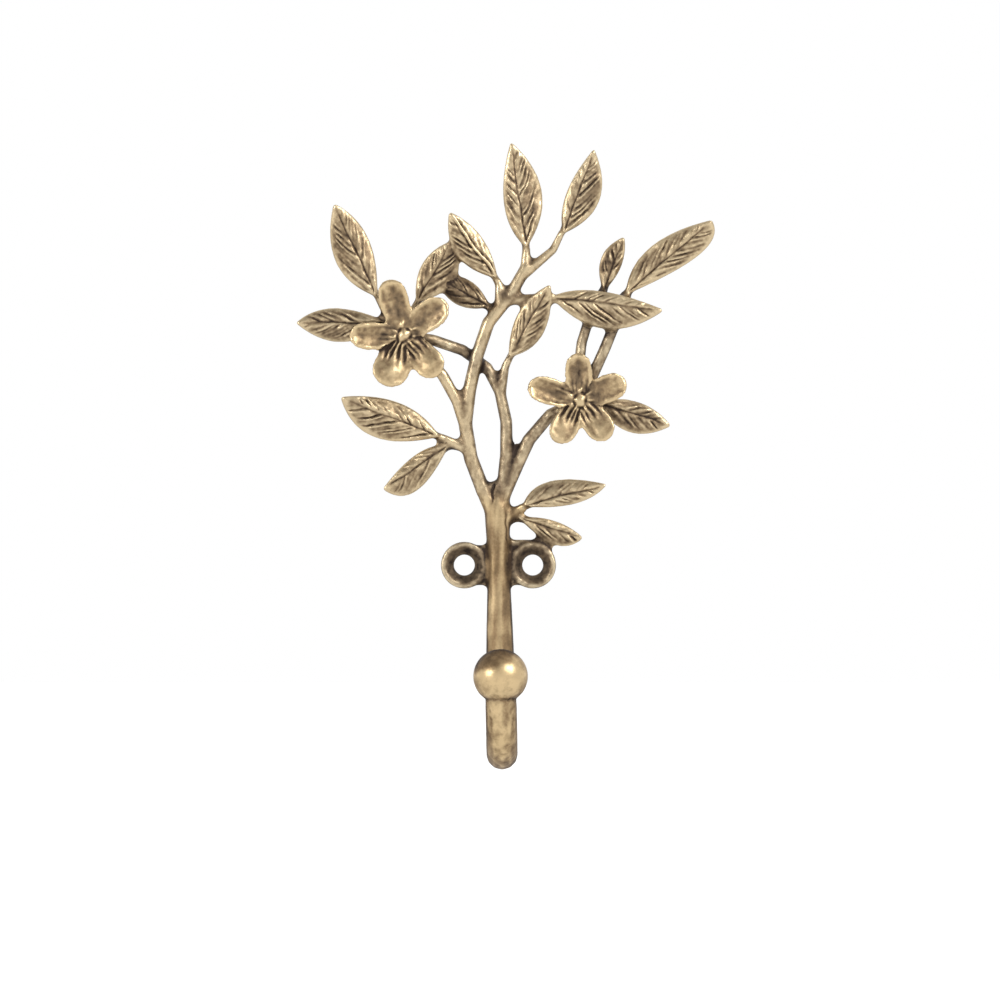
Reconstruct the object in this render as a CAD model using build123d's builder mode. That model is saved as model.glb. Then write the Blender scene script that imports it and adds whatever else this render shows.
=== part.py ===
from build123d import *
import os
from math import cos, radians, sin

# Cast brass wall hook, all sizes in millimetres
# Points are (across, out from the wall, up) seen from the front, zero midway between the screws

# Screw plate: two eyes joined by a thinner web, with a sill over the right eye
screw_spacing = 16.4
screw_hole_diameter = 5.4
countersink_diameter = 9.4
countersink_angle = 90
eye_diameter = 10.8
eye_thickness = 3.5
web_height = 9.2
web_thickness = 2.7
sill_width = 12.6
sill_height = 5.9

# Trunk, hook arm and ball
trunk_sides = 12
trunk_out = 2.5
trunk_lean = 1.1
trunk_crown = 20.0
trunk_top = 14.0
trunk_waist = 2.0
trunk_foot = -29.8
crown_radius = 1.3
fork_radius = 3.1
waist_radius = 2.45
foot_radius = 3.55
hook_bend_radius = 14.5
arm_rise = 4.4
ball_radius = 6.2

# Stems with flats along them, one section to each step of length
stem_sides = 8
stem_step = 9.0
branch_radius = 1.7
branch_tip_radius = 1.35
twig_radius = 1.25
back_twig_radius = 1.05
brace_radius = 0.9

# Leaves
stalk_sides = 6
stalk_radius = 1.25
stalk_end_radius = 0.55
stalk_inside_leaf = 0.2
stalk_sections = 3
leaf_thickness = 1.3
leaf_edge_thickness = 0.6
leaf_fold = 0.3
leaf_puff = 0.1
leaf_base_hold = 0.34
leaf_base_swell = 1.25
leaf_tip_hold = 0.66
leaf_tip_swell = 1.4

# Flowers
calyx_sides = 6
calyx_root_radius = 1.8
calyx_radius = 2.5
calyx_depth = 4.6
petal_root = 1.5
petal_rise = 1.8
petal_thickness = 1.3
petal_edge_thickness = 0.7
petal_cup = 0.34
petal_base_hold = 0.35
petal_tip_swell = 1.45
button_sides = 8
button_radius = 1.7
button_height = 1.5
button_chamfer = 0.6

# The strips that blades are cut from are this much wider than the blade, and this deep to cut
strip_margin = 1.1
cut_depth = 6.0


def place(across, out, up):
    return Vector(across, -out, up)


def toward(heading):
    return Vector(cos(radians(heading)), 0, sin(radians(heading)))


# Plane with its first axis along a blade and its normal to the front
def blade_plane(base, along):
    return Plane(base, x_dir=along, z_dir=along.cross(Vector(0, -1, 0)).cross(along))


# Plane across a blade at its root, first axis to the right of the blade, second to the front
def blade_end(face):
    return Plane(face.origin, x_dir=-face.y_dir, z_dir=face.x_dir)


# Smooth curve through points on the plant
def curve(*points):
    with BuildLine() as line:
        Spline(*points)
    return line.edges()[0]


# Stem that tapers along a curve
def stem(line, start_radius, end_radius, sides=stem_sides, sections=0):
    sections = sections or 2 + int(line.length / stem_step)
    with BuildPart() as shape:
        for step in range(sections):
            share = step / (sections - 1)
            with BuildSketch(Plane(line @ share, x_dir=(0, 1, 0), z_dir=line % share)):
                RegularPolygon(start_radius + (end_radius - start_radius) * share, sides)
        loft(ruled=True)
    return shape.part


# Leaf on a stalk: a folded, puffed strip cut to the leaf's outline
# left and right are its half widths, the leans push each side's swell toward the tip
def leaf(start, base, heading, length, left, right, rise=1.0, left_lean=0, right_lean=0):
    run = toward(heading) * length + Vector(0, -rise, 0)
    face = blade_plane(base, run.normalized())
    reach = run.length
    side = strip_margin * max(left, right)
    lift = leaf_fold * side
    crest = lift / 2 + leaf_puff * side
    with BuildPart() as blade:
        with BuildSketch(face):
            with BuildLine():
                Bezier((0, 0), ((leaf_base_hold + left_lean) * reach, leaf_base_swell * left),
                       ((leaf_tip_hold + left_lean) * reach, leaf_tip_swell * left), (reach, 0))
                Bezier((reach, 0), ((leaf_tip_hold + right_lean) * reach, -leaf_tip_swell * right),
                       ((leaf_base_hold + right_lean) * reach, -leaf_base_swell * right), (0, 0))
            make_face()
        extrude(amount=cut_depth, both=True)
        with BuildSketch(blade_end(face)):
            with BuildLine():
                ThreePointArc((side, lift), (side / 2, crest), (0, 0))
                ThreePointArc((0, 0), (-side / 2, crest), (-side, lift))
                Polyline((-side, lift), (-side, lift - leaf_edge_thickness), (0, -leaf_thickness),
                         (side, lift - leaf_edge_thickness), (side, lift))
            make_face()
        extrude(amount=reach, mode=Mode.INTERSECT)
    behind = base - face.z_dir * (leaf_thickness / 2)
    stalk = curve(start, behind, behind + run * stalk_inside_leaf)
    return [stem(stalk, stalk_radius, stalk_end_radius, stalk_sides, stalk_sections), blade.part]


# Petal: a cupped strip cut to a rounded outline, rising from the middle of its flower
def petal(middle, heading, length, width):
    run = toward(heading) * length + Vector(0, -petal_rise, 0)
    face = blade_plane(middle, run.normalized())
    reach = run.length
    half = width / 2
    hold = petal_base_hold * reach
    side = strip_margin * half
    lift = petal_cup * side
    with BuildPart() as shape:
        with BuildSketch(face):
            with BuildLine():
                Bezier((0, petal_root), (hold, half), (reach, petal_tip_swell * half), (reach, 0))
                Bezier((reach, 0), (reach, -petal_tip_swell * half), (hold, -half), (0, -petal_root))
                Line((0, -petal_root), (0, petal_root))
            make_face()
        extrude(amount=cut_depth, both=True)
        with BuildSketch(blade_end(face)):
            with BuildLine():
                ThreePointArc((side, lift), (0, 0), (-side, lift))
                Polyline((-side, lift), (-side, lift - petal_edge_thickness),
                         (0, -petal_thickness), (side, lift - petal_edge_thickness), (side, lift))
            make_face()
        extrude(amount=reach, mode=Mode.INTERSECT)
    return shape.part


# Flower: a calyx behind, petals given as heading, length and width, and a button in the middle
def flower(middle, petals):
    front = Plane(middle, x_dir=(1, 0, 0), z_dir=(0, -1, 0))
    with BuildPart() as calyx:
        with BuildSketch(front.offset(-calyx_depth)):
            RegularPolygon(calyx_root_radius, calyx_sides)
        with BuildSketch(front):
            RegularPolygon(calyx_radius, calyx_sides)
        loft(ruled=True)
    with BuildPart() as button:
        with BuildSketch(front):
            RegularPolygon(button_radius, button_sides)
        extrude(amount=button_height)
        chamfer(button.faces().sort_by(Axis.Y)[0].edges(), button_chamfer)
    return [calyx.part] + [petal(middle, *sizes) for sizes in petals] + [button.part]


# Plate with two countersunk screw holes behind the trunk
with BuildPart() as plate:
    with BuildSketch(Plane.XZ):
        Rectangle(screw_spacing, web_height)
        Rectangle(sill_width, sill_height, align=(Align.MIN, Align.MIN))
    extrude(amount=web_thickness)
    with BuildSketch(Plane.XZ):
        with GridLocations(screw_spacing, 0, 2, 1):
            Circle(eye_diameter / 2)
    extrude(amount=eye_thickness)
    with Locations(Plane.XZ.offset(eye_thickness)):
        with GridLocations(screw_spacing, 0, 2, 1):
            CounterSinkHole(screw_hole_diameter / 2, countersink_diameter / 2, eye_thickness,
                            countersink_angle)

# Trunk with flats like bark, bent forward and up at its foot and ending in a ball
with BuildPart() as trunk:
    for up, radius in ((trunk_crown, crown_radius), (trunk_top, fork_radius),
                       (trunk_waist, waist_radius), (trunk_foot, foot_radius)):
        with BuildSketch(Plane((0, -trunk_out, up))):
            RegularPolygon(radius, trunk_sides)
    loft(ruled=True)
    with BuildSketch(Plane((0, -trunk_out, trunk_foot))):
        RegularPolygon(foot_radius, trunk_sides)
    bend_axis = Axis((0, -trunk_out - hook_bend_radius, trunk_foot), (1, 0, 0))
    revolve(axis=bend_axis, revolution_arc=-180)
    arm_out = trunk_out + 2 * hook_bend_radius
    with BuildSketch(Plane((0, -arm_out, trunk_foot))):
        RegularPolygon(foot_radius, trunk_sides)
    extrude(amount=arm_rise)
    with Locations((0, -arm_out, trunk_foot + arm_rise)):
        Sphere(ball_radius)

# Curves of the branches, twigs and back stems, and the short brace from the plate to a leaf
left_branch = curve(place(-0.4, 3.0, 10.3), place(-3.8, 3.6, 18.2), place(-7.0, 4.4, 27),
                    place(-7.9, 4.9, 35), place(-6.4, 5.2, 44.3), place(-4.2, 5.4, 53.3),
                    place(-1.6, 5.4, 59.3), place(1.9, 5.2, 63.4), place(6.8, 5.0, 71.5))
right_branch = curve(place(-0.1, 2.8, 10.8), place(1.1, 3.2, 18.0), place(2.0, 3.8, 29.0),
                     place(1.6, 3.8, 36.6), place(0.2, 3.8, 42.0))
node_one = place(-22.5, 5.6, 54.9)
node_two = place(19.5, 4.8, 39.4)
front_twig = curve(left_branch @ 0.36, place(-9.8, 5.5, 39.0), place(-12.3, 6.0, 43.8), node_one)
back_twig = curve(right_branch @ 0.96, place(-4.2, 3.0, 48.7), place(-11.1, 3.4, 52.5), node_one)
flower_stem = curve(right_branch @ 0.15, place(3.5, 3.3, 22.0), place(7.1, 3.6, 29.7), node_two)
inner_stem = curve(node_two, place(19.5, 4.0, 51.0), place(22.0, 3.4, 60.0), place(25.2, 3.4, 65.8))
outer_stem = curve(node_two, place(25.3, 4.0, 51.5), place(28.7, 4.4, 60.0), place(30.5, 4.8, 64.8))
brace = curve(place(12.0, 1.8, 4.4), place(11.9, 2.6, 7.6))

pieces = [
    stem(left_branch, branch_radius, branch_tip_radius),
    stem(right_branch, branch_radius, twig_radius),
    stem(front_twig, twig_radius, twig_radius),
    stem(back_twig, twig_radius, twig_radius),
    stem(flower_stem, branch_radius, twig_radius),
    stem(inner_stem, twig_radius, back_twig_radius),
    stem(outer_stem, twig_radius, twig_radius),
    stem(brace, brace_radius, brace_radius, stalk_sides),
]
# Upper flower and lower flower
pieces += flower(place(-22.5, 8.2, 54.8), (
    (106.0, 13.5, 6.9), (38.0, 12.7, 6.9), (181.5, 12.8, 6.2), (249.5, 12.8, 8.8),
    (312.0, 12.7, 7.1)))
pieces += flower(place(19.4, 7.6, 39.3), (
    (93.0, 11.1, 6.0), (23.0, 11.7, 6.4), (163.8, 12.7, 6.2), (240.0, 11.5, 6.4),
    (307.0, 11.4, 6.7)))
# Leaves round the upper flower
pieces += leaf(node_one, place(-29.1, 5.0, 64.3), 114.8, 24.0, 5.3, 3.8, 1.0, -0.06, 0.06)
pieces += leaf(node_one, place(-26.3, 4.2, 57.9), 180.0, 21.9, 4.4, 3.4, -0.6, 0, 0.1)
pieces += leaf(node_one, place(-19.5, 4.6, 62.9), 60.0, 16.7, 3.3, 5.1, 0.0, 0, 0.05)
# Leaves at the top
pieces += leaf(left_branch @ 0.82, place(-0.4, 5.8, 68.6), 126.0, 19.2, 4.4, 2.6, 1.2)
pieces += leaf(left_branch @ 0.79, place(-2.2, 3.8, 61.8), 150.6, 14.4, 3.2, 3.1, -0.8)
pieces += leaf(left_branch @ 0.98, place(6.6, 5.4, 76.0), 98.3, 25.0, 3.6, 5.5, 1.2, -0.12, -0.03)
pieces += leaf(left_branch @ 0.97, place(15.6, 5.2, 79.4), 70.0, 21.0, 2.5, 5.2, 1.0, -0.12, -0.04)
pieces += leaf(left_branch @ 0.85, place(12.8, 6.0, 63.9), -6.8, 26.6, 2.7, 5.8, 2.0, -0.16, -0.02)
pieces += leaf(right_branch @ 0.97, place(2.6, 5.2, 50.0), 60.0, 19.5, 3.1, 4.2, 1.8, 0.0, -0.12)
# Leaves round the lower flower
pieces += leaf(inner_stem @ 0.9, place(25.2, 3.4, 65.8), 69.2, 13.5, 3.2, 1.7, 0.2)
pieces += leaf(outer_stem @ 0.9, place(30.5, 4.8, 64.8), 40.6, 26.7, 4.6, 4.1, 1.2, -0.12, 0.3)
pieces += leaf(node_two, place(23.5, 4.2, 39.0), -17.9, 18.4, 2.9, 4.3, 0.4)
# Leaves at the foot of the branches
pieces += leaf(left_branch @ 0.28, place(-14.3, 5.8, 30.8), 158.3, 25.0, 5.7, 3.8, 1.2, 0.08, -0.08)
pieces += leaf(left_branch @ 0.29, place(-12.1, 4.2, 28.5), 213.8, 18.5, 4.6, 2.4, 0.4, 0.2, -0.16)
pieces += leaf(place(0.8, 3.2, 9.9), place(6.0, 4.4, 14.2), 14.4, 20.3, 4.0, 2.4, 1.0, -0.2, 0.1)
pieces += leaf(place(0.8, 3.0, 10.3), place(5.1, 3.0, 11.3), -17.6, 15.7, 1.7, 3.4, 0.6, 0, 0.16)

# One casting, flat where it meets the wall
with BuildPart() as hook_casting:
    add(plate.part)
    add(trunk.part, rotation=(0, -trunk_lean, 0))
    add(pieces)
    split(bisect_by=Plane.XZ, keep=Keep.TOP)

hook_casting.part.label = "hook_casting"
os.makedirs("parts", exist_ok=True)
export_step(hook_casting.part, "parts/hook_casting.step")
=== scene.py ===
import bpy
import bmesh
import numpy as np
from math import cos, sin, pi, radians
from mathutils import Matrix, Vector, noise
from mathutils.bvhtree import BVHTree


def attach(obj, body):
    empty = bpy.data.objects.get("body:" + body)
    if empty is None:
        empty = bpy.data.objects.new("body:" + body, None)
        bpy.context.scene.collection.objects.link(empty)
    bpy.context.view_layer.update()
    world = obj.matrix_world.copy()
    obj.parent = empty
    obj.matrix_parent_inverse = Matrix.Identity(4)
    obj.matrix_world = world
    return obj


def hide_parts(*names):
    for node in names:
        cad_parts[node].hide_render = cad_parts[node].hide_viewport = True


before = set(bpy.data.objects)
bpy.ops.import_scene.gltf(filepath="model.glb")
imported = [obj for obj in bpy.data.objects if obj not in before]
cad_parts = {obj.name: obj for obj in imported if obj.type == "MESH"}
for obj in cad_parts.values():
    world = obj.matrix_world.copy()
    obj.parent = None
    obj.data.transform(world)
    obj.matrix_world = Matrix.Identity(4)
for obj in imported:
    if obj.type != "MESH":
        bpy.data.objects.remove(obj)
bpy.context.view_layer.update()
mm = 0.001
scene = bpy.context.scene


def ease(low, high, values):  # smooth step from 0 at low to 1 at high
    share = np.clip((values - low) / (high - low), 0, 1)
    return share * share * (3 - 2 * share)


def bump(values, middle, width):  # soft hill round middle
    return np.exp(-((values - middle) / width) ** 2)


def grain(points, scale, seed):  # smooth noise at points, scale in turns per millimetre, one or along x, y, z
    shifted = points * np.array(scale) + seed
    return np.array([noise.noise(Vector(point)) for point in shifted])


def makeObject(name, bm):
    mesh = bpy.data.meshes.new(name)
    bm.to_mesh(mesh)
    bm.free()
    obj = bpy.data.objects.new(name, mesh)
    scene.collection.objects.link(obj)
    return obj


def applied(obj):  # modifiers become plain mesh
    depsgraph = bpy.context.evaluated_depsgraph_get()
    mesh = bpy.data.meshes.new_from_object(obj.evaluated_get(depsgraph))
    old = obj.data
    obj.modifiers.clear()
    obj.data = mesh
    bpy.data.meshes.remove(old)


def readRows(items, name, size, kind=np.float32):
    values = np.empty(len(items) * size, kind)
    items.foreach_get(name, values)
    return values.reshape(-1, size)


def readCo(mesh):  # in millimetres
    return readRows(mesh.vertices, "co", 3).astype(float) / mm


def readNormals(mesh):
    return readRows(mesh.vertex_normals, "vector", 3).astype(float)


def writeCo(mesh, co):
    mesh.vertices.foreach_set("co", (co * mm).astype(np.float32).ravel())
    mesh.update()


# casting: a copy of the CAD solid with its inner corners filled and its flats faired

casting = dict(node="hook_casting", weld=0.001, voxel=0.3, fineVoxel=0.26, fillet=0.85, swell=0.18,
               fairing=5, soft=0.5, unsoft=-0.513, backSkin=0.6, stemFairing=50,
               forkFairing=30, forkUp=15, forkSpread=4.5, forkHalf=5, slideSpread=24, seed=4,
               triangles=192000)

bm = bmesh.new()
bm.from_mesh(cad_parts[casting["node"]].data)
bmesh.ops.remove_doubles(bm, verts=bm.verts, dist=casting["weld"] * mm)
hook = makeObject("hookCasting", bm)


def addRemesh(obj, name, voxel):
    remesh = obj.modifiers.new(name, "REMESH")
    remesh.mode = "VOXEL"
    remesh.voxel_size = voxel * mm


def addOffset(obj, name, amount):
    offset = obj.modifiers.new(name, "DISPLACE")
    offset.mid_level = 0
    offset.strength = amount * mm


addRemesh(hook, "even", casting["voxel"])
addOffset(hook, "grow", casting["fillet"])
addRemesh(hook, "close", casting["voxel"])
addOffset(hook, "shrink", casting["swell"] - casting["fillet"])
addRemesh(hook, "fine", casting["fineVoxel"])
fair = hook.modifiers.new("fair", "SMOOTH")
fair.factor = casting["soft"]
fair.iterations = casting["fairing"]
applied(hook)
co = readCo(hook.data)
edges = readRows(hook.data.edges, "vertices", 2, np.int32)
count = np.maximum(1, np.bincount(edges.ravel(), minlength=len(co))).astype(float)
print("casting", len(co), "vertices")


def neighbourMean(values):
    total = np.zeros_like(values)
    for axis in range(values.shape[1]):
        total[:, axis] = (np.bincount(edges[:, 0], values[edges[:, 1], axis], len(values))
                          + np.bincount(edges[:, 1], values[edges[:, 0], axis], len(values)))
    return total / count[:, None]


def spread(values, steps):
    for step in range(steps):
        values = neighbourMean(values)
    return values


def soften(weight, steps=1, factor=casting["soft"]):  # draws vertices toward their neighbours
    for step in range(steps):
        co[:] += factor * weight * (neighbourMean(co) - co)


def relativeTo(place):  # place as across, out from the wall, up
    return co - np.array([place[0], -place[1], place[2]])


# blades: the leaves and petals, and the vertices that belong to each

claim = dict(over=0.3, asideWeight=0.5, before=0.4, beyond=0.7, aside=0.8, below=0.8, above=1.0)
best = np.full(len(co), 9.0)  # how far a vertex is from the blade it belongs to
owner = np.full(len(co), -1)
blades = []


def bladeFrame(base, heading, length, rise):
    along = np.array([length * cos(radians(heading)), -rise, length * sin(radians(heading))])
    reach = np.linalg.norm(along)
    along = along / reach
    front = np.cross(np.cross(along, [0, -1, 0]), along)
    front = front / np.linalg.norm(front)
    left = np.cross(front, along)
    rel = relativeTo(base)
    return reach, rel @ along, rel @ left, rel @ front, front


def outlineHalf(u, points):  # half width at u from a cubic outline
    t = np.linspace(0, 1, 80)[:, None]
    p = [np.array(point, float) for point in points]
    line = (1 - t) ** 3 * p[0] + 3 * t * (1 - t) ** 2 * p[1] + 3 * t * t * (1 - t) * p[2] + t ** 3 * p[3]
    return np.interp(u, line[:, 0], line[:, 1], left=0.001, right=0.001)


def claimBlade(reach, u, v, w, top, half, front, thickness, **finish):  # each vertex goes to its nearest blade
    away = np.abs(v)
    far = (np.maximum(w - top - claim["over"], 0) + np.maximum(top - thickness - w, 0)
           + claim["asideWeight"] * np.maximum(away - half, 0))
    near = ((u > -claim["before"]) & (u < reach + claim["beyond"]) & (away < half + claim["aside"])
            & (w > top - thickness - claim["below"]) & (w < top + claim["above"]))
    mine = near & (far < best)
    best[mine] = far[mine]
    owner[mine] = len(blades)
    pick = np.where(near)[0]
    blades.append(dict(reach=reach, front=front, pick=pick, u=u[pick], v=v[pick], half=half[pick], **finish))


def ownPart(number):  # the vertices of a blade and their places on it
    blade = blades[number]
    own = owner[blade["pick"]] == number
    return blade["pick"][own], blade["u"][own], blade["v"][own], blade["half"][own]


leafLook = dict(strip=1.1, fold=0.3, thickness=1.3, edge=0.6, rootPull=(0.34, 1.25), tipPull=(0.66, 1.4),
                valley=0.45, valleyWidth=0.7, pillow=0.16, rimHeight=0.1, rimWidth=0.14, rimTone=0.1,
                midribHeight=0.2, midribWidth=0.3, sway=0.2, swayTurns=1.2,
                grooveDepth=0.4, grooveWidth=0.24, grooveAside=0.6, grooveScale=0.3,
                veinPitch=2.5, veinSlant=1.5, veinBow=0.5, veinDepth=0.36, veinWidth=0.22, veinFade=0.35,
                veinFrom=-0.3, veinTo=0.84, lip=0.7, lipAside=2.0, lipWidth=1.1,
                slants=(0.85, 1.2), depths=(0.25, 1.2), widths=(0.8, 1.6), ends=(0.75, 1.0), pitches=(0.5, 1.6),
                wander=0.7, wanderScale=0.22, shiver=0.25, shiverScale=0.7,
                gapScale=0.6, striation=0.12, striationScale=1.6, wave=0.28, waves=9, curl=0.9)
leaves = [  # base across, out, up; heading, length, left, right, rise, leans; tone, midrib, veins left, right, curl
    ((-29.1, 5.0, 64.3), 114.8, 24.0, 5.3, 3.8, 1.0, -0.06, 0.06, 0.4, -0.8, 0.8, 0.6, 0.7),
    ((-26.3, 4.2, 57.9), 180.0, 21.9, 4.4, 3.4, -0.6, 0, 0.1, 0.3, -0.9, 0.7, 1.1, 0.5),
    ((-19.5, 4.6, 62.9), 60.0, 16.7, 3.3, 5.1, 0.0, 0, 0.05, 0.35, -0.5, 0.6, 0.9, 0.0),
    ((-0.4, 5.8, 68.6), 126.0, 19.2, 4.4, 2.6, 1.2, 0, 0, 0.53, 1.2, 1.0, 0.5, 0.0),
    ((-2.2, 3.8, 61.8), 150.6, 14.4, 3.2, 3.1, -0.8, 0, 0, -0.05, -0.5, 1.2, 1.2, 0.0),
    ((6.6, 5.4, 76.0), 98.3, 25.0, 3.6, 5.5, 1.2, -0.12, -0.03, 0.48, -0.7, 0.8, 0.9, 0.8),
    ((15.6, 5.2, 79.4), 70.0, 21.0, 2.5, 5.2, 1.0, -0.12, -0.04, 0.37, -0.8, 0.5, 1.3, 0.5),
    ((12.8, 6.0, 63.9), -6.8, 26.6, 2.7, 5.8, 2.0, -0.16, -0.02, 0.55, -0.5, 0.9, 1.0, 0.3),
    ((2.6, 5.2, 50.0), 60.0, 19.5, 3.1, 4.2, 1.8, 0.0, -0.12, 0.44, -0.3, 0.7, 0.8, 0.3),
    ((25.2, 3.4, 65.8), 69.2, 13.5, 3.2, 1.7, 0.2, 0, 0, -0.02, -0.5, 1.0, 1.0, 0.4),
    ((30.5, 4.8, 64.8), 40.6, 26.7, 4.6, 4.1, 1.2, -0.12, 0.3, 0.5, -0.9, 0.5, 0.9, 0.8),
    ((23.5, 4.2, 39.0), -17.9, 18.4, 2.9, 4.3, 0.4, 0, 0, 0.25, -0.7, 0.7, 1.4, 0.4),
    ((-14.3, 5.8, 30.8), 158.3, 25.0, 5.7, 3.8, 1.2, 0.08, -0.08, 0.62, -0.5, 1.2, 1.2, 0.8),
    ((-12.1, 4.2, 28.5), 213.8, 18.5, 4.6, 2.4, 0.4, 0.2, -0.16, 0.48, -1.0, 0.8, 0.4, 0.5),
    ((6.0, 4.4, 14.2), 14.4, 20.3, 4.0, 2.4, 1.0, -0.2, 0.1, 0.52, -1.1, 0.5, 1.3, 0.5),
    ((5.1, 3.0, 11.3), -17.6, 15.7, 1.7, 3.4, 0.6, 0, 0.16, 0.35, -0.5, 0.6, 1.0, 0.2),
]
for (base, heading, length, left, right, rise, leftLean, rightLean,
     tone, midrib, leftVeins, rightVeins, curl) in leaves:
    reach, u, v, w, front = bladeFrame(base, heading, length, rise)
    sides = []
    for half, lean in ((left, leftLean), (right, rightLean)):
        pulls = [((pull[0] + lean) * reach, pull[1] * half) for pull in (leafLook["rootPull"], leafLook["tipPull"])]
        sides.append(outlineHalf(u, ((0, 0), *pulls, (reach, 0))))
    strip = leafLook["strip"] * max(left, right)
    drop = leafLook["thickness"] + leafLook["fold"] * strip - leafLook["edge"]
    top = leafLook["thickness"] - drop * np.abs(v) / strip
    claimBlade(reach, u, v, w, top, np.where(v > 0, sides[0], sides[1]), front, leafLook["thickness"], length=length,
               tone=tone, midrib=midrib, leftVeins=leftVeins, rightVeins=rightVeins, curl=curl)

petalLook = dict(strip=0.55, rise=1.8, root=1.5, rootPull=0.35, tipPull=0.725, thickness=1.3, edge=0.6,
                 bend=1.0, flatter=0.45, fairing=14, spots=(-0.62, -0.22, 0.22, 0.62), spotShift=0.1,
                 grooveDepth=0.5, grooveWidth=0.1, grooveShares=(0.5, 1.1), lip=0.4, lipAside=0.2, lipWidth=0.11,
                 rimHeight=0.3, bulbHeight=0.55, neckDepth=0.4, neckShade=0.45, skin=0.12, skinScale=0.4,
                 sway=0.12, swayScale=0.35, heart=0.24, gold=0.4)
buttonLook = dict(reach=5, knob=2.0, knobDepth=2.5, knobFairing=8, moat=1.65, moatWidth=0.34, moatDepth=0.32,
                  uneven=0.4, threads=7, threadHeight=0.35, threadOut=2.6, threadLength=0.75, floor=0.12,
                  dome=0.25, domeWidth=0.8)
flowers = [  # middle across, out, up; petals as heading, length, width, grooves, bulb, dish; tone, button's seed
    ((-22.5, 8.2, 54.8), ((106.0, 13.5, 6.9, 0.0, 0.0, 0.4), (38.0, 12.7, 6.9, 0.0, 0.0, 0.45),
                          (181.5, 12.8, 6.2, 0.25, 0.1, 0.2), (249.5, 12.8, 8.8, 1.0, 0.8, 0.0),
                          (312.0, 12.7, 7.1, 0.7, 0.9, 0.1)), 0.6, 12.7),
    ((19.4, 7.6, 39.3), ((93.0, 11.1, 6.0, 0.3, 0.0, 0.35), (23.0, 11.7, 6.4, 0.0, 0.3, 0.0),
                         (163.8, 12.7, 6.2, 0.3, 0.0, 0.5), (240.0, 11.5, 6.4, 1.0, 0.5, 0.0),
                         (307.0, 11.4, 6.7, 0.9, 0.5, 0.0)), 0.59, 11.4),
]
for middle, petals, tone, _ in flowers:
    for heading, length, width, grooves, bulb, dish in petals:
        reach, u, v, w, front = bladeFrame(middle, heading, length, petalLook["rise"])
        points = ((0, petalLook["root"]), (petalLook["rootPull"] * reach, width / 2),
                  (reach, petalLook["tipPull"] * width), (reach, 0))
        drop = petalLook["thickness"] + petalLook["edge"]
        top = petalLook["thickness"] - drop * np.abs(v) / (petalLook["strip"] * width)
        claimBlade(reach, u, v, w, top, outlineHalf(u, points), front, petalLook["thickness"], length=length,
                   width=width, tone=tone, grooves=grooves, bulb=bulb, dish=dish)
petalNumbers = range(len(leaves), len(blades))

# petals are cupped or cushioned

cupped = np.zeros((len(co), 1))
for number in petalNumbers:
    blade = blades[number]
    pick, u, v, half = ownPart(number)
    run = ease(0.14, 0.42, u / blade["reach"])
    across = np.minimum(np.abs(v) / np.maximum(half, 0.4 * blade["width"]), 1.1)
    bend = petalLook["bend"] * (1 - petalLook["flatter"] * blade["bulb"]) * run * (2 * across - 1)
    co[pick] += bend[:, None] * blade["front"]
    cupped[pick, 0] = run * (1 - ease(0.75, 0.95, across))
soften(cupped, petalLook["fairing"])

# stems and trunk are faired further, the plate and the back are not

plateLook = dict(halfHeight=6.2, out=4.4, trunkHalf=3.2, tone=-0.1, eyeAcross=8.2, eyeLift=0.32, webLift=0.75,
                 eyeFade=(3.9, 4.6), webFade=(5.6, 6.6))
ballLook = dict(middle=(0.47, -31.5, -25.4), radius=6.2, out=20, fade=(0.1, 0.6), armRadius=3.5, lean=0.0192,
                skin=0.1, cornerFade=(0.7, 1.6), rub=0.42, topShade=0.9, topShadeFade=(0.12, 0.75), blotch=0.65,
                blotchScale=0.3, shadeTilt=0.18, freckles=0.6, freckleScale=0.9)
plate = ((np.abs(co[:, 2]) < plateLook["halfHeight"]) & (-co[:, 1] < plateLook["out"])
         & (np.abs(co[:, 0]) > plateLook["trunkHalf"]) & (owner < 0))
ballMiddle = np.array(ballLook["middle"])
fromBall = np.linalg.norm(co - ballMiddle, axis=1)
ball = (1 - ease(*ballLook["fade"], fromBall - ballLook["radius"])) * (-co[:, 1] > ballLook["out"])
loose = (owner < 0) & ~plate & (ball < 0.5) & (-co[:, 1] > casting["backSkin"])
loose = loose.astype(float)[:, None]
for step in range(casting["stemFairing"]):  # in and out again, so that stems keep their girth
    soften(loose)
    soften(loose, factor=casting["unsoft"])

# the corner between ball and arm is sharp below the ball

armAway = co - ballMiddle
armAway[:, 0] += ballLook["lean"] * armAway[:, 2]
armAway[:, 2] = 0
armFar = np.linalg.norm(armAway, axis=1)
offBall = fromBall - ballLook["radius"] - ballLook["skin"]
offArm = armFar - ballLook["armRadius"] - ballLook["skin"]
inner = (offBall > 0) & (offArm > 0) & (co[:, 2] < ballMiddle[2]) & (-co[:, 1] > ballLook["out"])
corner = (1 - ease(*ballLook["cornerFade"], offBall)) * (1 - ease(*ballLook["cornerFade"], offArm))
toBall = inner & (offBall <= offArm)
toArm = inner & (offBall > offArm)
ballPull = corner[:, None] * (co - ballMiddle) / fromBall[:, None] * offBall[:, None]
co[toBall] -= ballPull[toBall]
armPull = corner[:, None] * armAway / np.maximum(armFar, 0.1)[:, None] * offArm[:, None]
co[toArm] -= armPull[toArm]
fork = loose[:, 0] * bump(co[:, 2], casting["forkUp"], casting["forkSpread"])
soften((fork * (np.abs(co[:, 0]) < casting["forkHalf"]))[:, None], casting["forkFairing"])
for middle, *_ in flowers:
    rel = relativeTo(middle)
    knob = bump(np.hypot(rel[:, 0], rel[:, 2]), 0, buttonLook["knob"]) * (np.abs(rel[:, 1]) < buttonLook["knobDepth"])
    soften(knob[:, None], buttonLook["knobFairing"])
writeCo(hook.data, co)
normals = readNormals(hook.data)
print("stems faired")

# carving: how far vertices move, and how much each place is rubbed, with painted shade in petal necks

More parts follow.
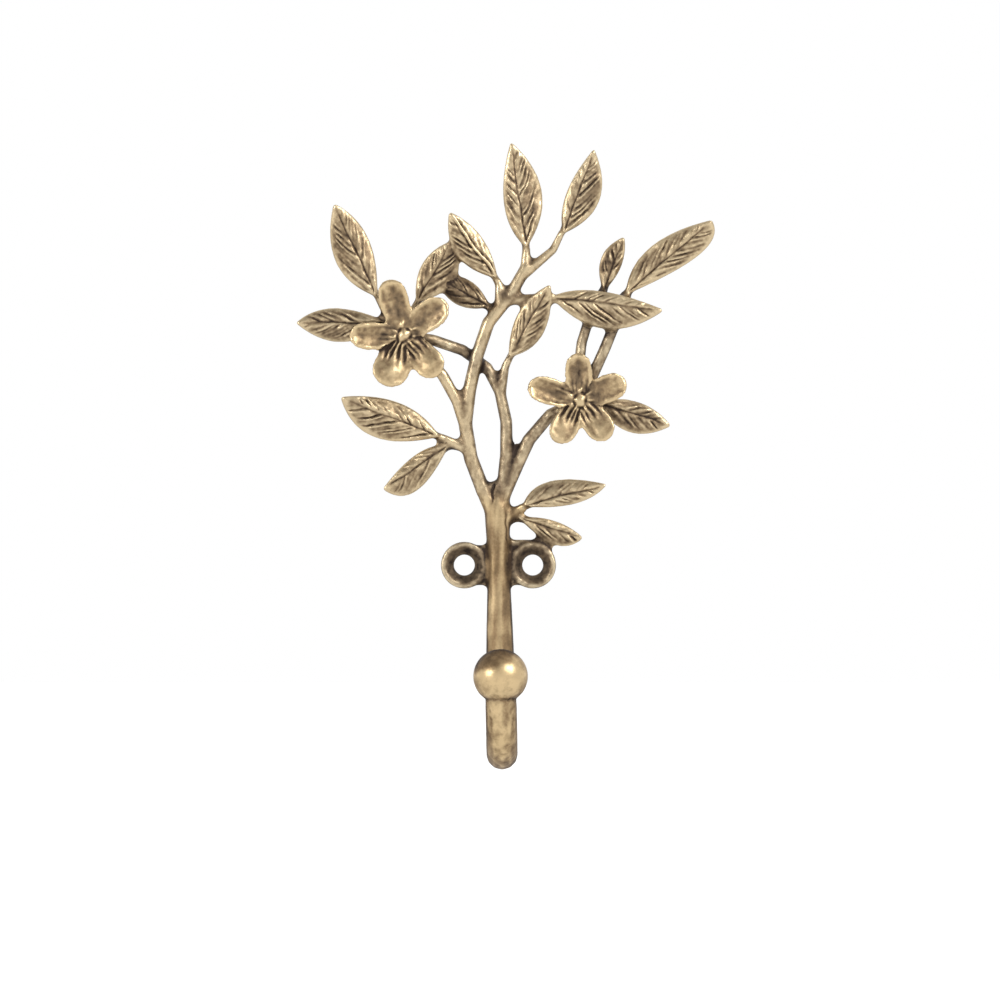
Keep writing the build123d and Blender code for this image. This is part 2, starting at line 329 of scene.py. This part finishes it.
stemLook = dict(tone=0.02, outTone=0.54, outFade=(3.3, 6.9))
move = np.zeros(len(co))  # how far each vertex goes along its normal
slide = np.zeros((len(co), 3))  # how far it goes besides, spread out before it is used
sink = np.zeros(len(co))  # how far it goes back toward the wall
rub = stemLook["tone"] + stemLook["outTone"] * ease(*stemLook["outFade"], -co[:, 1])  # more, further out
chance = np.random.default_rng(casting["seed"])


def frontShare(pick, front):  # 1 where a blade faces its front
    return ease(0.1, 0.5, normals[pick] @ front)


def carveLeaf(number):
    look = leafLook
    blade = blades[number]
    reach, length, midrib, curl = blade["reach"], blade["length"], blade["midrib"], blade["curl"]
    pick, u, v, half = ownPart(number)
    away = np.abs(v)
    share = np.clip(u / reach, 0, 1)
    edge = away / np.maximum(half, 0.3)
    slant = look["veinSlant"] * chance.uniform(*look["slants"])
    steep = (1 + slant ** 2) ** -0.5
    wander = (look["wander"] * grain(co[pick], look["wanderScale"], length * 3.1)
              + look["shiver"] * grain(co[pick], look["shiverScale"], length))
    carve = np.zeros(len(pick))
    sweep = slant * away + look["veinBow"] * away * edge  # veins bow toward the tip
    for onSide, strength in ((v > 0, blade["leftVeins"]), (v <= 0, blade["rightVeins"])):
        root = look["veinFrom"] * reach + chance.uniform(0, 1) * look["veinPitch"]
        while root < look["veinTo"] * reach:
            off = (u + wander - root - sweep) * steep
            depth = look["veinDepth"] * strength * chance.uniform(*look["depths"])
            width = look["veinWidth"] * chance.uniform(*look["widths"])
            end = chance.uniform(*look["ends"])
            lip = look["lip"] * bump(off, -look["lipAside"] * width, look["lipWidth"] * width)
            vein = depth * (lip - bump(off, 0, width)) * (1 - ease(end - look["veinFade"], end, edge))
            carve += np.where(onSide, vein, 0)
            root += look["veinPitch"] * chance.uniform(*look["pitches"])
    flow = np.stack([(u + wander - sweep) * steep, (u + away / slant) * 0.3, np.sign(v) * 9], axis=1)
    carve *= 0.4 + 0.6 * ease(-0.4, 0.25, grain(flow, (look["gapScale"], 1, 1), length * 1.3))  # veins come and go
    carve += look["striation"] * grain(flow, (look["striationScale"], 1, 1), length * 7.7) * (1.2 - edge)
    carve *= ease(0.2, 0.8, away) * (1 - ease(0.92, 1.0, share))  # none on the midrib and the tip
    taper = (1 - 0.45 * share) * ease(0.0, 0.08, share) * (1 - ease(0.86, 0.99, share))
    bend = v + look["sway"] * np.sin(2 * look["swayTurns"] * share * pi + length) + 0.5 * wander  # the midrib's line
    ridge = max(midrib, 0)  # below 0 the midrib lies in a valley
    carve -= (midrib < 0) * look["valley"] * bump(bend, 0, look["valleyWidth"]) * taper
    carve += look["pillow"] * np.sin(pi * np.clip(edge, 0, 1)) * taper
    carve += ridge * look["midribHeight"] * bump(bend, 0, look["midribWidth"]) * taper
    flank = bump(np.abs(bend), look["grooveAside"] * min(ridge, 1), look["grooveWidth"])
    ups = grain(np.stack([u, u * 0, u * 0], axis=1), look["grooveScale"], length * 9.1)
    carve -= max(abs(midrib), 0.5) * (look["grooveDepth"] * (0.75 + 0.9 * ups)) * flank * taper
    carve += look["rimHeight"] * bump(edge, 1.0, look["rimWidth"]) * ease(0.1, 0.3, share)
    move[pick] += frontShare(pick, blade["front"]) * carve
    lift = look["wave"] * np.sin(share * look["waves"] + length + (v > 0) * 1.7) * np.minimum(edge, 1) ** 2
    lift = lift * ease(0.15, 0.4, share) * (curl > 0)
    lift += look["curl"] * curl * np.sin(length * 5) * ease(0.35, 1.0, share) ** 2
    slide[pick, 1] -= lift
    rub[pick] = blade["tone"] + look["rimTone"] * ease(0.55, 0.95, edge)


for number in range(len(leaves)):
    carveLeaf(number)
print("leaves carved")


def carvePetal(number):
    look = petalLook
    blade = blades[number]
    length, bulb = blade["length"], blade["bulb"]
    pick, u, v, half = ownPart(number)
    share = np.clip(u / blade["reach"], 0, 1)
    across = v / np.maximum(half, 0.3) + look["sway"] * grain(co[pick], look["swayScale"], length * 2.3)
    edge = np.abs(across)
    run = ease(0.12, 0.22, share) * (1 - ease(0.36, 0.6, share))
    carve = np.zeros(len(pick))
    for spot in look["spots"]:
        spot = spot + chance.uniform(-look["spotShift"], look["spotShift"])
        depth = blade["grooves"] * look["grooveDepth"] * chance.uniform(*look["grooveShares"])
        lip = look["lip"] * bump(across, spot + look["lipAside"], look["lipWidth"])
        carve += depth * run * (lip - bump(across, spot, look["grooveWidth"]))
    rim = np.maximum(bump(edge, 0.95, 0.22), bump(share, 0.97, 0.08)) * ease(0.3, 0.55, share)
    neck = bulb * bump(share, 0.36, 0.16)
    carve += look["rimHeight"] * (1 - 0.6 * bulb) * rim
    carve -= blade["dish"] * bump(share, 0.62, 0.24) * bump(across, chance.uniform(-0.2, 0.2), 0.6)
    carve += bulb * look["bulbHeight"] * bump(share, 0.76, 0.17) * bump(across, 0, 0.7)
    carve -= look["neckDepth"] * neck
    carve += look["skin"] * grain(co[pick], look["skinScale"], length * 5.3)
    move[pick] += frontShare(pick, blade["front"]) * carve
    heart = look["heart"] * bump(edge, 0, 0.6) * ease(0.3, 0.55, share)
    # the neck of a bulbed petal is darker: painted shade in the sunken neck, together with patina there
    rub[pick] = blade["tone"] + heart - look["neckShade"] * bulb * bump(share, 0.34, 0.16)


def carveButton(middle, seed):  # a small uneven knob in a moat, with threads between the petals
    look = buttonLook
    rel = relativeTo(middle)
    radius = np.hypot(rel[:, 0], rel[:, 2])
    angle = np.arctan2(rel[:, 2], rel[:, 0])
    weight = np.where((rel[:, 1] < 1.0) & (radius < look["reach"]), ease(-0.1, 0.3, -normals[:, 1]), 0)
    wobble = np.sin(2 * angle + seed) + 0.7 * np.sin(3 * angle + 2.1 * seed)
    moat = bump(radius, look["moat"] + 0.4 * look["uneven"] * wobble, look["moatWidth"])
    sink[:] += weight * look["moatDepth"] * (1 - look["uneven"] * np.sin(5 * angle + seed)) * moat
    spoke = 0.5 + 0.5 * np.cos(look["threads"] * angle + 1.2 * np.sin(2 * angle + seed) + 0.4 * radius)
    thread = spoke ** 5 * bump(radius, look["threadOut"], look["threadLength"])
    raised = look["threadHeight"] * thread - look["floor"] * bump(radius, look["threadOut"], 0.8)
    move[:] += weight * (raised + look["dome"] * bump(radius, 0, look["domeWidth"]))


for number in petalNumbers:
    carvePetal(number)
for middle, *_, seed in flowers:
    carveButton(middle, seed)
print("flowers carved")

# streaks down the trunk, pits on the arm, an uneven cast skin all over

barkLook = dict(armOut=(12, 20), trunkUp=(14, 20), depth=0.12, across=0.6, along=0.05, pits=0.04, pitScale=0.9,
                skin=0.08, skinScale=0.45, grit=0.06, gritScale=1.2, barkPlain=0.65, ballPlain=0.8,
                trunkTone=0.02, trunkStreaks=0.4, upperTone=0.3, upperFade=(3, 9), armTone=0.06, armStreaks=0.3)
grooves = [  # across and up at the top and at the bottom, depth, width
    ((-1.15, 20.0), (-1.6, 14.0), 0.34, 0.28),
    ((1.7, 13.5), (2.3, 3.0), 0.2, 0.22),
]
paintedShadeSpots = [  # painted shade on stems lying behind the front layer and at a junction: across, up, spread, amount
    (22.0, 52.8, 7.0, 0.32),
    (-8.0, 49.9, 5.0, 0.32),
    (10.0, 33.6, 5.0, 0.2),
    (1.5, 66.0, 3.0, 0.25),
]
arm = (1 - ball) * ease(*barkLook["armOut"], -co[:, 1])
trunk = np.where((owner < 0) & ~plate, 1 - ball, 0) * (1 - ease(*barkLook["trunkUp"], co[:, 2])) * (1 - arm)
streaks = grain(co, (barkLook["across"], barkLook["across"], barkLook["along"]), 3.1)
move += trunk * barkLook["depth"] * streaks
for top, bottom, depth, width in grooves:
    share = (top[1] - co[:, 2]) / (top[1] - bottom[1])
    line = top[0] + (bottom[0] - top[0]) * share + 0.12 * np.sin(1.7 * co[:, 2])
    run = ease(0.0, 0.15, share) * (1 - ease(0.5, 1.0, share)) * (owner < 0) * ease(0.2, 0.6, -normals[:, 1])
    move -= depth * run * bump(co[:, 0], line, width)
pits = ease(0.2, 0.5, grain(co, barkLook["pitScale"], 17.9))
move -= arm * barkLook["pits"] * pits
plain = 1 - barkLook["barkPlain"] * np.maximum(trunk, arm) - barkLook["ballPlain"] * ball
plain *= ease(0.1, 0.6, np.abs(normals[:, 1]))
move += barkLook["skin"] * grain(co, barkLook["skinScale"], 11.7) * plain
move += barkLook["grit"] * grain(co, barkLook["gritScale"], 5.9) * plain
slide = spread(slide, casting["slideSpread"])
slide[:, 1] += sink
writeCo(hook.data, co + normals * move[:, None] + slide)
print("bark and skin done")

# rubbing of the plate, trunk, arm and ball, and painted shade on the ball's top and on some stems

fromEye = np.hypot(np.abs(co[:, 0]) - plateLook["eyeAcross"], co[:, 2])
eyes = plateLook["eyeLift"] * (1 - ease(*plateLook["eyeFade"], fromEye))
web = plateLook["webLift"] * ease(*plateLook["webFade"], fromEye)
rub = np.where(plate, plateLook["tone"] + (eyes + web), rub)
upper = barkLook["upperTone"] * ease(*barkLook["upperFade"], co[:, 2])
rub += (trunk * (barkLook["trunkStreaks"] * streaks + barkLook["trunkTone"] + upper)
        + arm * (barkLook["armStreaks"] * streaks + barkLook["armTone"]) + ball * ballLook["rub"])
height = (co[:, 2] - ballMiddle[2]) / ballLook["radius"]
aside = (co[:, 0] - ballMiddle[0]) / ballLook["radius"]
blotch = grain(co, ballLook["blotchScale"], 41.3)
# painted shade: the top and left of the ball are made darker, like a dim reflection from above, broken up with patina
# blotches
paintedTopShade = ease(*ballLook["topShadeFade"], height + ballLook["blotch"] * blotch - ballLook["shadeTilt"] * aside)
rub -= ball * ballLook["topShade"] * paintedTopShade
freckles = ease(0.12, 0.4, grain(co, ballLook["freckleScale"], 43.9))
rub -= ball * ballLook["freckles"] * freckles * ease(0.2, 0.9, -height)
rub -= arm * 0.5 * ballLook["freckles"] * freckles * bump(height, -1.5, 0.9)
# painted shade: darker spots on stems behind the front layer and at a junction
paintedShade = np.zeros(len(co))
for across, up, reach, amount in paintedShadeSpots:
    paintedShade += (owner < 0) * amount * bump(np.hypot(co[:, 0] - across, co[:, 2] - up), 0, reach)
rub -= paintedShade

# wear and painted shade: how far the patina is rubbed off, from height, hollows, facing and chance, plus the painted
# shade held in rub

wearLook = dict(start=0.1, rub=0.62, fine=2.4, fineSteps=9, broad=0.7, broadSteps=50, sides=0.5, sideLevel=0.85,
                hollows=0.8, openLevel=0.85, openSpread=4, rays=7, rayStart=0.15, raySpread=1.02, depth=4.5, seed=7,
                patch=0.22, patchScale=0.32, fleck=0.26, fleckScale=1.1, fleckDraw=0.85, ballFleck=0.5)
warmLook = dict(start=0.35, bark=0.6, plate=0.3, stems=0.35, stemFade=(3.5, 6.5))


def unit(vectors):
    return vectors / np.linalg.norm(vectors, axis=1)[:, None]


def measureOpen(mesh, points, facing):  # share of rays that leave a vertex freely
    tree = BVHTree.FromPolygons([Vector(point) for point in points], [poly.vertices for poly in mesh.polygons])
    spin = np.random.default_rng(wearLook["seed"])
    free = np.zeros(len(points))
    start = points + wearLook["rayStart"] * facing
    for ray in range(wearLook["rays"]):
        away = unit(unit(spin.normal(size=points.shape)) + wearLook["raySpread"] * facing)
        for index in range(len(points)):
            hit = tree.ray_cast(Vector(start[index]), Vector(away[index]), wearLook["depth"])
            free[index] += hit[0] is None
    return free / wearLook["rays"]


points = readCo(hook.data)
facing = readNormals(hook.data)
smooth = spread(points, wearLook["fineSteps"])
fine = ((points - smooth) * facing).sum(axis=1)
smooth = spread(smooth, wearLook["broadSteps"] - wearLook["fineSteps"])
broad = ((points - smooth) * facing).sum(axis=1)
free = spread(measureOpen(hook.data, points, facing)[:, None], wearLook["openSpread"])[:, 0]
wearAndShade = wearLook["start"] + wearLook["rub"] * rub + wearLook["fine"] * fine + wearLook["broad"] * broad
wearAndShade += wearLook["sides"] * (ease(0.0, 0.8, -facing[:, 1]) - wearLook["sideLevel"])
wearAndShade -= wearLook["hollows"] * (wearLook["openLevel"] - np.minimum(free, wearLook["openLevel"]))
wearAndShade += wearLook["patch"] * grain(points, wearLook["patchScale"], 23.3)
flat = np.ones(len(points))
drawn = 1 - wearLook["fleckDraw"] * np.maximum(trunk, arm)  # flecks run down the trunk and the arm
fleckScale = wearLook["fleckScale"] * np.stack([flat, flat, drawn], axis=1)
wearAndShade += wearLook["fleck"] * grain(points, fleckScale, 31.9) * (1 - wearLook["ballFleck"] * ball)
warm = warmLook["start"] + warmLook["bark"] * np.maximum(trunk, np.maximum(arm, ball)) - warmLook["plate"] * plate
backStems = (owner < 0) * (1 - trunk - arm - ball) * (1 - ease(*warmLook["stemFade"], -co[:, 1]))
# the painted shade spots are also made cooler
warm -= warmLook["stems"] * backStems + paintedShade
warm += petalLook["gold"] * (owner >= len(leaves)) * ease(0.3, 0.6, wearAndShade)
for name, values in (("wearAndShade", wearAndShade), ("warm", warm)):
    attribute = hook.data.attributes.new(name, "FLOAT", "POINT")
    attribute.data.foreach_set("value", np.clip(values, 0, 1).astype(np.float32))
print("wear measured")
thin = hook.modifiers.new("thin", "DECIMATE")
thin.ratio = min(1.0, casting["triangles"] / (2.0 * len(hook.data.polygons)))
applied(hook)
hook.data.shade_smooth()
print("thinned to", len(hook.data.polygons), "faces")

# antique brass

brassLook = dict(dark=(0.058, 0.041, 0.031, 1), middle=(0.288, 0.21, 0.127, 1), bright=(0.69, 0.555, 0.35, 1),
                 darkAt=0.05, middleAt=0.5, brightAt=0.95, roughDark=0.62, roughBright=0.36,
                 fleckScale=1900, fleckDetail=3, fleckAmount=0.3, tintScale=85, tintDetail=2, tintAmount=0.5,
                 warmTint=(1.03, 0.955, 0.84, 1), coolTint=(0.98, 1.0, 1.06, 1),
                 bumpScale=1500, bumpDetail=3, bumpStrength=0.2, bumpDistance=0.00006)


def addNode(tree, kind, sockets=None, **values):  # a socket takes a link or a plain value
    node = tree.nodes.new(kind)
    for name, value in values.items():
        setattr(node, name, value)
    for name, value in (sockets or {}).items():
        if isinstance(value, bpy.types.NodeSocket):
            tree.links.new(value, node.inputs[name])
        else:
            node.inputs[name].default_value = value
    return node


def addNoise(tree, coords, scale, detail):
    sockets = {"Vector": coords.outputs["Object"], "Scale": scale, "Detail": detail}
    return addNode(tree, "ShaderNodeTexNoise", sockets).outputs["Fac"]


def addSpots(tree, value, spots, amount):  # noise round 0 is added to a value, kept from 0 to 1
    shift = addNode(tree, "ShaderNodeMath", {0: spots, 1: amount, 2: -0.5 * amount}, operation="MULTIPLY_ADD")
    total = addNode(tree, "ShaderNodeMath", {0: value, 1: shift.outputs[0]}, operation="ADD", use_clamp=True)
    return total.outputs[0]


def addColorMix(tree, factor, first, second, blend):  # sockets 6 and 7 of a Mix node are its colours
    sockets = {0: factor, 6: first, 7: second}
    return addNode(tree, "ShaderNodeMix", sockets, data_type="RGBA", blend_type=blend).outputs[2]


material = bpy.data.materials.new("antiqueBrass")
material.use_nodes = True
tree = material.node_tree
tree.nodes.clear()
coords = addNode(tree, "ShaderNodeTexCoord")
wearAndShadeNode = addNode(tree, "ShaderNodeAttribute", attribute_name="wearAndShade")
fleck = addNoise(tree, coords, brassLook["fleckScale"], brassLook["fleckDetail"])
flecked = addSpots(tree, wearAndShadeNode.outputs["Fac"], fleck, brassLook["fleckAmount"])
ramp = addNode(tree, "ShaderNodeValToRGB", {"Fac": flecked})
stops = ramp.color_ramp.elements
stops[0].position = brassLook["darkAt"]
stops[0].color = brassLook["dark"]
stops[1].position = brassLook["brightAt"]
stops[1].color = brassLook["bright"]
stops.new(brassLook["middleAt"]).color = brassLook["middle"]
warmNode = addNode(tree, "ShaderNodeAttribute", attribute_name="warm")
tintNoise = addNoise(tree, coords, brassLook["tintScale"], brassLook["tintDetail"])
warmth = addSpots(tree, warmNode.outputs["Fac"], tintNoise, brassLook["tintAmount"])
tint = addColorMix(tree, warmth, brassLook["coolTint"], brassLook["warmTint"], "MIX")
tinted = addColorMix(tree, 1.0, ramp.outputs["Color"], tint, "MULTIPLY")
rough = addNode(tree, "ShaderNodeMapRange", {"Value": flecked, "To Min": brassLook["roughDark"],
                                             "To Max": brassLook["roughBright"]})
grit = addNoise(tree, coords, brassLook["bumpScale"], brassLook["bumpDetail"])
raised = addNode(tree, "ShaderNodeBump", {"Height": grit, "Strength": brassLook["bumpStrength"],
                                          "Distance": brassLook["bumpDistance"]})
shader = addNode(tree, "ShaderNodeBsdfPrincipled", {"Metallic": 1.0, "Base Color": tinted,
                                                    "Roughness": rough.outputs["Result"],
                                                    "Normal": raised.outputs["Normal"]})
addNode(tree, "ShaderNodeOutputMaterial", {"Surface": shader.outputs["BSDF"]})
hook.data.materials.clear()
hook.data.materials.append(material)
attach(hook, "root")
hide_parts(casting["node"])
print("brass done")

# floor, lights, white surround and camera

stageLook = dict(floorDrop=0.16, floorSize=6.0, floorColor=(0.8, 0.8, 0.8, 1), floorRough=0.9, floorLift=0.75,
                 floorShine=0.2, white=(1, 1, 1, 1))
bm = bmesh.new()
bmesh.ops.create_grid(bm, x_segments=1, y_segments=1, size=stageLook["floorSize"] / 2)
bmesh.ops.translate(bm, verts=bm.verts, vec=(0, 0, -stageLook["floorDrop"]))
floor = makeObject("floor", bm)


def seenDirectly(tree):  # 1 for what the camera sees, and 1 for what it sees in metal and glass
    path = addNode(tree, "ShaderNodeLightPath")
    rays = {0: path.outputs["Is Glossy Ray"], 1: path.outputs["Is Transmission Ray"]}
    return path.outputs["Is Camera Ray"], addNode(tree, "ShaderNodeMath", rays, operation="MAXIMUM").outputs[0]


floorMaterial = bpy.data.materials.new("paleFloor")
floorMaterial.use_nodes = True
floorTree = floorMaterial.node_tree
cameraRay, glossyRay = seenDirectly(floorTree)
floorShine = addNode(floorTree, "ShaderNodeMath", {0: glossyRay, 1: stageLook["floorShine"]}, operation="MULTIPLY")
lifted = {0: cameraRay, 1: stageLook["floorLift"], 2: floorShine.outputs[0]}  # lifted to white where it is seen
floorSeen = addNode(floorTree, "ShaderNodeMath", lifted, operation="MULTIPLY_ADD")
floorShader = floorTree.nodes["Principled BSDF"]
floorShader.inputs["Base Color"].default_value = stageLook["floorColor"]
floorShader.inputs["Roughness"].default_value = stageLook["floorRough"]
floorShader.inputs["Emission Color"].default_value = stageLook["white"]
floorTree.links.new(floorSeen.outputs[0], floorShader.inputs["Emission Strength"])
floor.data.materials.append(floorMaterial)

lampTarget = Vector((0, 0, 0.02))
lamps = [  # name, place, size, watts
    ("keyLeft", (-0.88, -0.73, 0.34), 0.36, 3.8),
    ("keyRight", (0.7, -0.72, 0.64), 0.55, 7.3),
    ("softFront", (0.0, -1.25, 0.25), 1.1, 1.4),
]
for name, place, size, watts in lamps:
    lamp = bpy.data.lights.new(name, "AREA")
    lamp.size = size
    lamp.energy = watts
    holder = bpy.data.objects.new(name, lamp)
    holder.location = place
    holder.rotation_euler = (lampTarget - Vector(place)).to_track_quat("-Z", "Y").to_euler()
    scene.collection.objects.link(holder)

worldLook = dict(diffuse=0.5, front=0.26, back=1.0, frontAt=-1.0, backAt=0.8, glow=0.3, glowFrom=0.35, glowTo=-0.05)
world = bpy.data.worlds.new("studio")
scene.world = world
world.use_nodes = True
tree = world.node_tree
tree.nodes.clear()


def addFade(tree, value, start, stop, low, high):
    sockets = {"Value": value, "From Min": start, "From Max": stop, "To Min": low, "To Max": high}
    return addNode(tree, "ShaderNodeMapRange", sockets, interpolation_type="SMOOTHSTEP").outputs["Result"]


direction = addNode(tree, "ShaderNodeTexCoord")
parts = addNode(tree, "ShaderNodeSeparateXYZ", {0: direction.outputs["Generated"]})
backdrop = addFade(tree, parts.outputs["Y"], worldLook["frontAt"], worldLook["backAt"],
                   worldLook["front"], worldLook["back"])  # dim in front, white behind
horizon = addFade(tree, parts.outputs["Z"], worldLook["glowFrom"], worldLook["glowTo"],
                  0.0, worldLook["glow"])  # lighter toward the floor
surround = addNode(tree, "ShaderNodeMath", {0: backdrop, 1: horizon}, operation="ADD")
cameraRay, glossyRay = seenDirectly(tree)
level = addNode(tree, "ShaderNodeMix", {0: glossyRay, 2: worldLook["diffuse"], 3: surround.outputs[0]})
seen = addNode(tree, "ShaderNodeMath", {0: level.outputs[0], 1: cameraRay}, operation="MAXIMUM")
studio = addNode(tree, "ShaderNodeBackground", {"Color": stageLook["white"], "Strength": seen.outputs[0]})
addNode(tree, "ShaderNodeOutputWorld", {"Surface": studio.outputs[0]})

cameraLook = dict(across=0.36, up=15.6, away=1000.0, lens=150.0, sensor=36.0, near=10.0)
camera = bpy.data.cameras.new("camera")
camera.lens = cameraLook["lens"]
camera.sensor_width = cameraLook["sensor"]
camera.clip_start = cameraLook["near"] * mm
cameraHolder = bpy.data.objects.new("camera", camera)
cameraHolder.location = (cameraLook["across"] * mm, -cameraLook["away"] * mm, cameraLook["up"] * mm)
cameraHolder.rotation_euler = (pi / 2, 0, 0)
scene.collection.objects.link(cameraHolder)
scene.camera = cameraHolder
scene.view_settings.view_transform = "Standard"
print("stage done")
